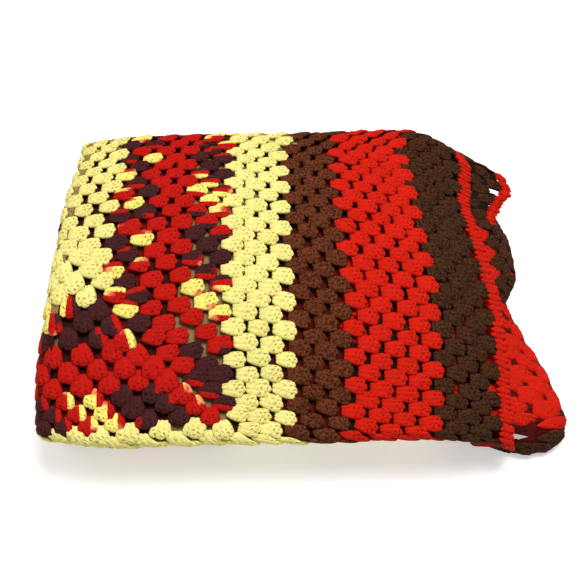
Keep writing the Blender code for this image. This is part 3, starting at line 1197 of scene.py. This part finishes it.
@dataclass
class InnerCloth:
    """The hidden layers of the square as one folded cloth under the clusters."""

    folds: FoldedSquare
    showing: Showing
    thickness: float = 0.0016
    bend_steps: int = 8
    slip: float = 4.0
    # where the second layer gets the last round's dark brown as painted shade
    painted_shade_row: float = -6.0
    painted_shade_from: tuple[float, float] = (38.0, 42.5)
    depth_shares: tuple[float, ...] = (0.06, 0.13, 0.22, 0.33, 0.44, 0.55, 0.69, 0.76, 0.83, 0.91)
    third_shares: tuple[float, ...] = (0.1, 0.2, 0.3, 0.4, 0.5, 0.6, 0.7, 0.8, 0.9)
    end_rows: tuple[float, ...] = (-8.0, -6.0, -4.4, -3.0, -1.6, -0.5, 0.0, 0.6, 1.6, 2.6)
    flap_rows: tuple[float, ...] = (33.75, 34.0, 34.5, 35.0, 35.5)
    end_rounds: tuple[float, ...] = (
        36.0, 38.0, 39.3, 40.6, 41.8, 43.0, 44.2, 45.4, 46.6, 47.6, 48.7, 49.8)

    def _stops(self, middle: float, half: float, steps: int) -> list[float]:
        """Places along a bend, both ends included."""
        return [middle + half * (2 * step / steps - 1) for step in range(steps + 1)]

    def _between(self, first: float, last: float) -> list[float]:
        """Places at even shares between two others."""
        return [first + (last - first) * share for share in self.third_shares]

    def _over(self, first: float, last: float) -> list[float]:
        """Places down one flat layer that lie over the shared depths."""
        folds = self.folds
        downs = np.linspace(first, last, 400)
        depths = folds.section(downs)[0]
        order = np.argsort(depths)
        shared = folds.y_front + folds.depth * np.array(self.depth_shares)
        inside = (shared > depths.min() + ROUND / 2) & (shared < depths.max() - ROUND / 2)
        return sorted(np.interp(shared[inside], depths[order], downs[order]).tolist())

    def lines_down(self) -> list[float]:
        """Lines of the cloth's grid from the inner flap's end to the outer one's."""
        folds, half = self.folds, self.bend_steps // 2
        inner, outer = folds.inner_bend, folds.outer_bend
        lines = [-LAST_ROUND, *self._over(-LAST_ROUND, folds.inner_fold - inner)]
        lines += self._stops(folds.inner_fold, inner, half)
        lines += [line for line in self._over(folds.inner_fold + inner, folds.back_fold - inner)
                  if line < self.end_rows[0] - 1]
        lines += self.end_rows
        lines += self._stops(folds.back_fold, inner, half)
        lines += self._over(folds.back_fold + inner, folds.front_fold - outer)
        lines += self._stops(folds.front_fold, outer, self.bend_steps)
        lines += self.flap_rows
        over = self._over(folds.front_fold + outer, LAST_ROUND)
        return [*lines, *(line for line in over if line > self.flap_rows[-1] + 0.5), LAST_ROUND]

    def lines_across(self, down: float) -> list[float]:
        """Lines of the cloth's grid across one row."""
        folds = self.folds
        layer = folds.section(np.array([down]))[1][0]
        left, right = folds.bend_halves(layer)
        lines = [-LAST_ROUND, *self._between(-LAST_ROUND, folds.right_fold - right)]
        lines += self._stops(folds.right_fold, right, self.bend_steps)
        lines += self._between(folds.right_fold + right, folds.left_fold - left)
        lines += self._stops(folds.left_fold, left, self.bend_steps)
        lines += self._between(folds.left_fold + left, self.end_rounds[0])
        return [*lines, *self.end_rounds, LAST_ROUND]

    def _ring(self, across: float, down: float) -> float:
        """Round whose colour a place has.

        The second layer lies some rounds further in than the top one. Its deepest places and the
        flap's covered part lie in the dark, so they get the last round's dark brown as painted
        shade.
        """
        folds = self.folds
        ring = max(abs(across), abs(down))
        if folds.inner_fold < down < folds.back_fold and across > 0:
            painted_shade_from = self.painted_shade_from[0] if down > self.painted_shade_row else self.painted_shade_from[1]
            # past this ring the last round's dark brown is painted shade of the layers above
            ring = LAST_ROUND if across > painted_shade_from else ring + self.slip
        elif down > folds.front_fold and 0 < across < self.showing.flap_start:
            # the flap's covered part also gets the last round's dark brown as painted shade
            ring = LAST_ROUND
        return min(ring, LAST_ROUND)

    def build(self, material: Material) -> Object:
        """Fold the cloth and give it its thickness.

        Args:
            material: the striped yarns.

        Returns:
            The piece.
        """
        places = np.array([[(a, d) for a in self.lines_across(d)] for d in self.lines_down()])
        points = self.folds.place(places[..., 0], places[..., 1])
        rows, columns = places.shape[:2]
        sheet = bmesh.new()
        bmesh.ops.create_grid(sheet, x_segments=columns - 1, y_segments=rows - 1, size=1.0)
        ring = sheet.verts.layers.float.new("ring")
        flat = sheet.loops.layers.uv.new("stitch")
        middles = []
        for vertex in sheet.verts:
            column = round((vertex.co.x + 1) / 2 * (columns - 1))
            row = round((vertex.co.y + 1) / 2 * (rows - 1))
            vertex[ring] = self._ring(*places[row, column])
            vertex.co = points[row, column]
            for loop in vertex.link_loops:
                loop[flat].uv = places[row, column] * ROUND
        for face in sheet.faces:
            middles.append(np.mean([loop[flat].uv for loop in face.loops], axis=0) / ROUND)
        middles = np.array(middles)
        is_open = self.showing.open_cloth(middles[:, 0], middles[:, 1])
        spare = [face for face, out in zip(sheet.faces, is_open) if out]
        bmesh.ops.delete(sheet, geom=spare, context="FACES")
        bmesh.ops.recalc_face_normals(sheet, faces=sheet.faces)
        mesh = bpy.data.meshes.new("inner_cloth")
        sheet.to_mesh(mesh)
        sheet.free()
        mesh.shade_smooth()
        piece = show("inner_cloth", mesh, material)
        thicken = piece.modifiers.new("Thickness", "SOLIDIFY")
        thicken.thickness = self.thickness
        thicken.offset = 0.0
        return piece


@dataclass
class Clusters:
    """All the clusters that show, one piece a stripe."""

    folds: FoldedSquare
    showing: Showing
    dark_starts: dict[int, float]

    def build(self, yarns: dict[Stripe, Material]) -> list[Object]:
        """Work every stripe.

        Args:
            yarns: the material of each stripe.

        Returns:
            The pieces.
        """
        worked, plain, pieces = cluster(8, 6), cluster(6, 4), []
        for number, stripe in enumerate(Stripe):
            rounds = Rounds(stripe.first, stripe.last, dark_starts=self.dark_starts)
            places = rounds.places()
            close = places.keep(self.showing.close(places.across, places.down))
            far = places.keep(self.showing.plain(places.across, places.down))
            flap = rounds.flap_places(self.folds)
            flap = flap.keep(self.showing.flap(flap.across, flap.down))
            name = f"{stripe.name.lower()}_rounds"
            piece = Piece(name, self.folds, seed=11 + number)
            pieces.append(piece.lay([(worked, close), (plain, far), (worked, flap)], yarns[stripe]))
            triangles = (len(close) + len(flap)) * worked.triangles + len(far) * plain.triangles
            LOG.info("%s: %d close, %d plain, %d triangles", name, len(close), len(far), triangles)
        return pieces


@dataclass
class Edging:
    """The red edging of close stitches round the square."""

    folds: FoldedSquare
    ring: float = 51.15
    spacing: float = 0.42
    spike_spacing: float = 2.0
    length: float = 1.15

    def _places(self, spacing: float) -> Places:
        """Places round the four sides at an even spacing."""
        side = np.arange(-self.ring, self.ring, spacing) + spacing / 2
        s = np.tile(side, 4)
        across, down, angle = around(self.ring, s, np.repeat(np.arange(4), len(side)))
        full, none = np.ones_like(s), np.zeros_like(s)
        return Places(across, down, angle, none, none, self.length * full, full)

    def build(self, material: Material) -> Object:
        """Work the edging.

        Args:
            material: the red yarn.

        Returns:
            The piece.
        """
        spike = Stitch([Strand(0.0, -5.4, 6.0, 1.6, 2.8, 3.2, sides=6, rings=4, head_lift=0.8)])
        close, spikes = self._places(self.spacing), self._places(self.spike_spacing)
        LOG.info("edging: %d stitches", len(close))
        batches = [(edging_stitch(), close), (spike, spikes)]
        return Piece("edging_stitches", self.folds, seed=5).lay(batches, material)


@dataclass
class Blanket:
    """The whole blanket: clusters, inner cloth and edging."""

    folds: FoldedSquare
    dark_starts: dict[int, float]

    def yarns(self) -> dict[Stripe, Material]:
        """The material of each stripe."""
        rough = {"fuzz": 4.5, "depth": 0.38}
        mixed = VariegatedYarn("variegated_yarn", Shade.DEEP_RED, (0.36, 0.16, 0.10), fuzz=2.6)
        yarns = {
            Shade.CREAM: Yarn("cream_yarn", Shade.CREAM, (0.42, 0.34, 0.10)),
            Shade.RED: Yarn("bright_red_yarn", Shade.RED, RED_SHADOW),
            Shade.DEEP_RED: Yarn("deep_red_yarn", Shade.DEEP_RED, RED_SHADOW),
            Shade.BROWN: Yarn("brown_yarn", Shade.BROWN, (0.20, 0.14, 0.10), **rough),
            Shade.DARK_BROWN: Yarn(
                "dark_brown_yarn", Shade.DARK_BROWN, (0.20, 0.16, 0.12), **rough),
            Shade.MAROON: mixed,
        }
        materials = {shade: yarn.material() for shade, yarn in yarns.items()}
        return {stripe: materials[stripe.shade] for stripe in Stripe}

    def build(self) -> list[Object]:
        """Build, dress and declare every piece.

        Returns:
            The pieces.
        """
        showing = Showing(self.folds)
        clusters = Clusters(self.folds, showing, self.dark_starts).build(self.yarns())
        # the inner cloth's stripes, in their yarn colours darkened as painted shade
        stripes = tuple((stripe.first - 0.6, InnerShade[stripe.shade.name]) for stripe in Stripe)
        cloth_yarn = ClothYarn("inner_cloth_yarn", Shade.BROWN, (0.30, 0.26, 0.22), stripes=stripes)
        cloth = InnerCloth(self.folds, showing).build(cloth_yarn.material())
        edge_yarn = Yarn("edging_yarn", Shade.RED, RED_SHADOW, smooth_to=-0.02, slit=0.5)
        edging = Edging(self.folds).build(edge_yarn.material())
        for piece in [cloth, edging, *clusters]:
            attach(piece, "root")
        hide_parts("blanket")
        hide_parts("edging")
        area = CLOTH_SIDE * CLOTH_SIDE * (1 - showing.open_share())
        return [cloth, edging, *clusters]


# ---- studio


@dataclass
class Studio:
    """The pale floor, the soft lights and the camera at the photograph's angle."""

    elevation: float = radians(61.04)
    azimuth: float = radians(1.19)
    roll: float = radians(-0.32)
    distance: float = 0.8142
    target: tuple[float, float, float] = (-0.01085, -0.0230, 0.07)
    focal_pixels: float = 894.4
    image_pixels: float = 580.0
    sensor: float = 36.0
    floor_gap: float = 0.0008
    room_light: float = 0.27

    def camera(self) -> None:
        """Place the camera."""
        e, a = self.elevation, self.azimuth
        forward = Vector((sin(a) * cos(e), cos(a) * cos(e), -sin(e)))
        level = Vector((cos(a), -sin(a), 0.0))
        upright = level.cross(forward)
        right = cos(self.roll) * level + sin(self.roll) * upright
        up = -sin(self.roll) * level + cos(self.roll) * upright
        data = bpy.data.cameras.new("camera")
        data.sensor_width = self.sensor
        data.lens = self.focal_pixels / self.image_pixels * self.sensor
        camera = bpy.data.objects.new("camera", data)
        turn = Matrix((right, up, -forward)).transposed().to_4x4()
        place = Vector(self.target) - forward * self.distance
        camera.matrix_world = Matrix.Translation(place) @ turn
        bpy.context.scene.collection.objects.link(camera)
        bpy.context.scene.camera = camera

    def floor(self) -> None:
        """Lay the pale floor."""
        sheet = bmesh.new()
        bmesh.ops.create_grid(sheet, x_segments=1, y_segments=1, size=6.0)
        mesh = bpy.data.meshes.new("floor")
        sheet.to_mesh(mesh)
        sheet.free()
        nodes = Nodes("pale_floor")
        nodes.shade(
            Base_Color=(0.85, 0.85, 0.85), Roughness=0.9, Specular_IOR_Level=0.1,
            Emission_Color=(1.0, 1.0, 1.0), Emission_Strength=0.45,
        )
        mesh.transform(Matrix.Translation((0.0, 0.0, -self.floor_gap)))
        show("floor", mesh, nodes.material)

    def _soft_light(self, name: str, place: Vector, size: float, power: float) -> None:
        """Hang one large soft light that faces the bundle."""
        data = bpy.data.lights.new(name, "AREA")
        data.size = size
        data.energy = power
        light = bpy.data.objects.new(name, data)
        turn = (Vector((0.0, 0.0, 0.03)) - place).to_track_quat("-Z", "Y").to_matrix().to_4x4()
        light.matrix_world = Matrix.Translation(place) @ turn
        bpy.context.scene.collection.objects.link(light)

    def lights(self) -> None:
        """Hang the soft lights and brighten the room."""
        self._soft_light("key_light", Vector((0.3, 0.35, 1.6)), size=0.9, power=27.5)
        self._soft_light("fill_light", Vector((-1.1, 0.2, 1.3)), size=1.2, power=4.0)
        self._soft_light("back_light", Vector((0.1, 1.2, 1.2)), size=1.2, power=2.0)
        world = bpy.data.worlds.new("room")
        world.use_nodes = True
        backdrop = world.node_tree.nodes["Background"]
        backdrop.inputs["Color"].default_value = (1.0, 1.0, 1.0, 1.0)
        backdrop.inputs["Strength"].default_value = self.room_light
        bpy.context.scene.world = world
        bpy.context.scene.view_settings.view_transform = "Standard"

    def build(self) -> None:
        """Set up the whole studio."""
        self.camera()
        self.floor()
        self.lights()


# ---- main

# the cluster of each variegated round at which its first dark length begins
DARK_STARTS = {
    14: 3.0, 15: 3.8, 16: 4.6, 22: 13.5, 23: 16.3, 24: 19.5, 28: 14.5, 29: 15.5, 30: 16.2,
}


def main() -> None:
    """Build the blanket from its rounds, dress it and set up the studio."""
    Studio().build()
    pieces = Blanket(FoldedSquare(), DARK_STARTS).build()
    for piece in pieces:
        LOG.info("built %s", piece.name)


if __name__ == "__main__":
    logging.basicConfig(level=logging.INFO, format="%(message)s")
    main()
